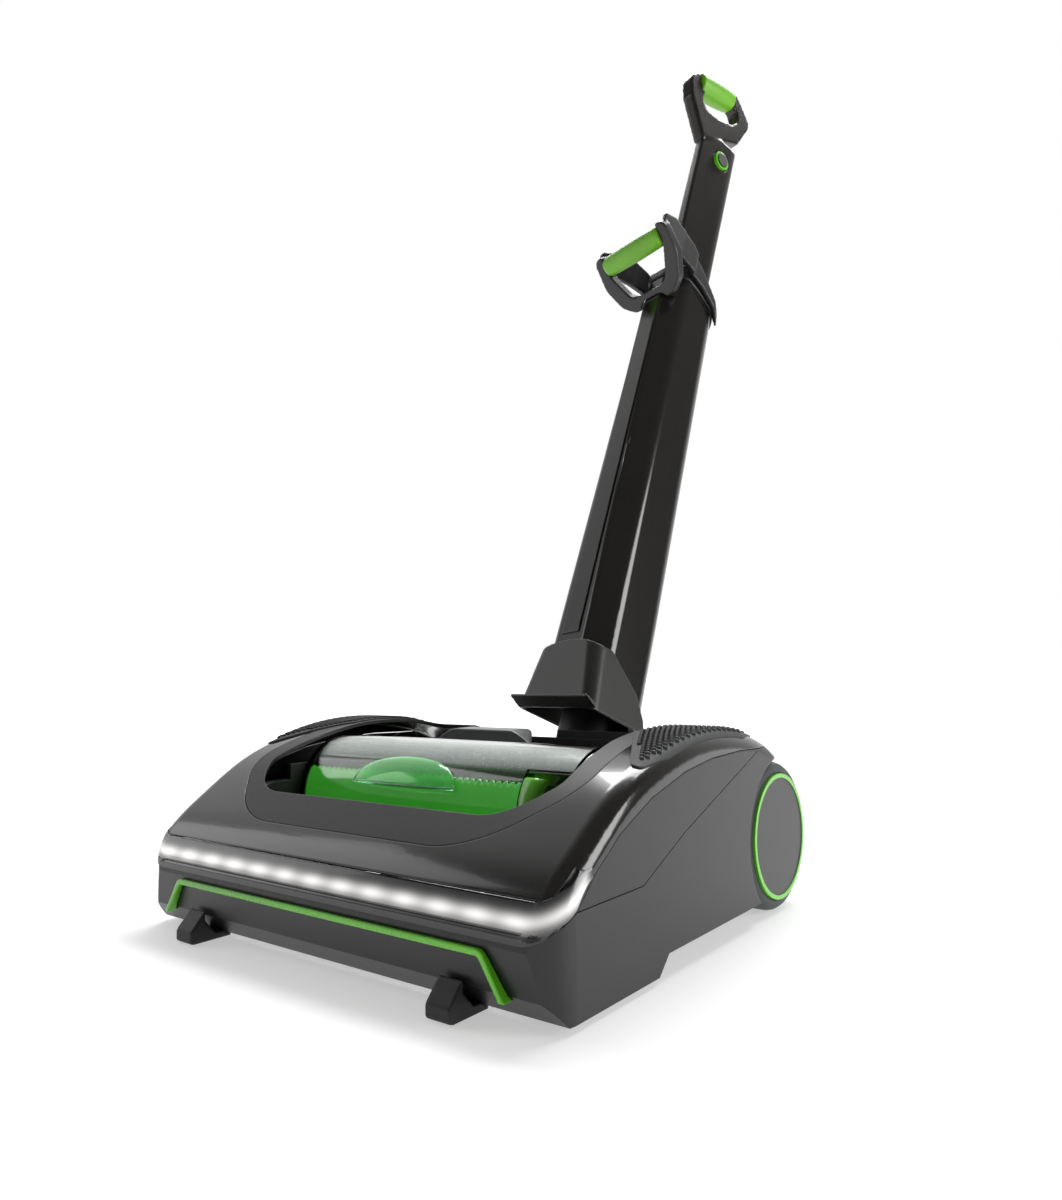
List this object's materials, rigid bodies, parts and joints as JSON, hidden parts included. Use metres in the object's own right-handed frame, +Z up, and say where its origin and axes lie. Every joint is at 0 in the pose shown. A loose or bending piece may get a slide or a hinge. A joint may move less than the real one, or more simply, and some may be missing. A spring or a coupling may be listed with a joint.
{
  "type": "upright vacuum cleaner",
  "caption": "Cordless upright vacuum cleaner: low floor head with rear wheels, clear transverse dirt bin and light strip, and a slim leaning body with carry handle and loop handle.",
  "frame": {"origin": "middle of the bounding box at ground level", "axes": "+X across the machine to its right side seen from the front left corner, -Y to the front, +Z up"},
  "size_m": [0.31, 0.573, 0.7502],
  "materials": {
    "gloss_black": "high gloss moulded",
    "satin_charcoal": "satin moulded",
    "matte_black": "matt moulded",
    "lime_plastic": "gloss lime green",
    "lime_grip": "soft satin lime green",
    "rubber_grey": "matt blue grey rubber",
    "hub_plastic": "satin",
    "clear_plastic": "clear moulded",
    "foam": "open cell foam",
    "bristle": "nylon tufts",
    "steel": "turned",
    "roller_plastic": "satin",
    "cell_wrap": "shrink wrapped cell",
    "circuit_board": "solder masked board"
  },
  "bodies": {
    "head": {"base_chassis": "satin_charcoal", "side_panels": "satin_charcoal", "light_lens": "clear_plastic", "top_cover": "gloss_black", "bin_surround": "matte_black", "rear_cover": "satin_charcoal", "neck_well": "matte_black", "bin_cradle": "matte_black", "sunken_deck": "matte_black", "sole_plate": "matte_black", "front_trim": "lime_plastic", "front_feet": "matte_black", "grip_pads": "rubber_grey", "led_board": "circuit_board", "wheel_axles": "steel", "brush_axle": "steel", "brush_bearings": "steel", "brush_motor": "steel", "drive_belt": "rubber_grey", "case_screws": "steel", "suction_motor": "steel", "fan_housing": "matte_black", "control_board": "circuit_board", "release_spring": "steel", "neck_pin": "steel"},
    "wheel_left": {"wheel_tyre_left": "rubber_grey", "wheel_hub_left": "hub_plastic", "wheel_ring_left": "lime_plastic"},
    "wheel_right": {"wheel_tyre_right": "rubber_grey", "wheel_hub_right": "hub_plastic", "wheel_ring_right": "lime_plastic"},
    "brush": {"brush_roller": "roller_plastic", "brush_bristles": "bristle", "brush_pulley": "steel"},
    "motor_drive": {"motor_pulley": "steel"},
    "fan": {"impeller": "roller_plastic"},
    "bin": {"bin_tube": "clear_plastic", "bin_end_cap": "lime_plastic", "filter_cage": "lime_plastic", "foam_filter": "foam", "bin_handle": "clear_plastic"},
    "release": {"bin_release_button": "hub_plastic"},
    "neck": {"neck_yoke": "matte_black"},
    "body": {"body_shell": "gloss_black", "swivel_plate": "roller_plastic", "swivel_bearing": "roller_plastic", "front_panel": "gloss_black", "neck_cowl": "satin_charcoal", "body_collar": "satin_charcoal", "carry_handle": "matte_black", "carry_grip": "lime_grip"},
    "battery": {"battery_case": "matte_black", "battery_cells": "cell_wrap", "battery_door": "satin_charcoal"},
    "latch": {"battery_latch": "hub_plastic"},
    "handle": {"upper_shaft": "satin_charcoal", "handle_loop": "satin_charcoal", "handle_grip": "lime_grip", "button_ring": "lime_plastic"},
    "power": {"power_button": "hub_plastic"}
  },
  "joints": [
    {"name": "body_tilt", "type": "hinge", "parent": "head", "child": "neck", "pos_m": [0, -0.04713, 0.0566], "axis": [-1, 0, 0], "range_deg": [-23.9, 55]},
    {"name": "body_steer", "type": "hinge", "parent": "neck", "child": "body", "pos_m": [0, -0.04713, 0.0566], "axis": [0, 0.4051, 0.9143], "range_deg": [-31.7, 58.3]},
    {"name": "handle_slide", "type": "slide", "parent": "body", "child": "handle", "axis": [0, 0.4051, 0.9143], "range_m": [0, 0.21]},
    {"name": "power_press", "type": "slide", "parent": "handle", "child": "power", "axis": [-0.9732, 0.2103, -0.0932], "range_m": [0, 0.0008], "stiffness_N_per_m": 900, "springref_m": -0.0005},
    {"name": "battery_slide", "type": "slide", "parent": "body", "child": "battery", "axis": [0.23, 0.8897, -0.3943], "range_m": [0, 0.075]},
    {"name": "latch_press", "type": "slide", "parent": "battery", "child": "latch", "axis": [-0.23, -0.8897, 0.3943], "range_m": [0, 0.0012], "stiffness_N_per_m": 600, "springref_m": -0.001},
    {"name": "bin_lift", "type": "slide", "parent": "head", "child": "bin", "axis": [0, 0, 1], "range_m": [0, 0.12]},
    {"name": "release_press", "type": "slide", "parent": "head", "child": "release", "axis": [0, 0, -1], "range_m": [0, 0.003], "stiffness_N_per_m": 400, "springref_m": -0.002, "deforming": ["release_spring"]},
    {"name": "wheel_left_spin", "type": "hinge", "parent": "head", "child": "wheel_left", "pos_m": [-0.141, -0.03453, 0.0454], "axis": [1, 0, 0], "continuous": true},
    {"name": "wheel_right_spin", "type": "hinge", "parent": "head", "child": "wheel_right", "pos_m": [0.141, -0.03453, 0.0454], "axis": [1, 0, 0], "continuous": true},
    {"name": "brush_spin", "type": "hinge", "parent": "head", "child": "brush", "pos_m": [0, -0.24253, 0.027], "axis": [1, 0, 0], "continuous": true},
    {"name": "motor_pulley_spin", "type": "hinge", "parent": "head", "child": "motor_drive", "pos_m": [-0.132, -0.19453, 0.0168], "axis": [1, 0, 0], "continuous": true},
    {"name": "fan_spin", "type": "hinge", "parent": "head", "child": "fan", "pos_m": [0.087, -0.04053, 0.064], "axis": [1, 0, 0], "continuous": true}
  ],
  "couplings": [
    {"joint": "motor_pulley_spin", "follows": "brush_spin", "ratio": 2}
  ]
}
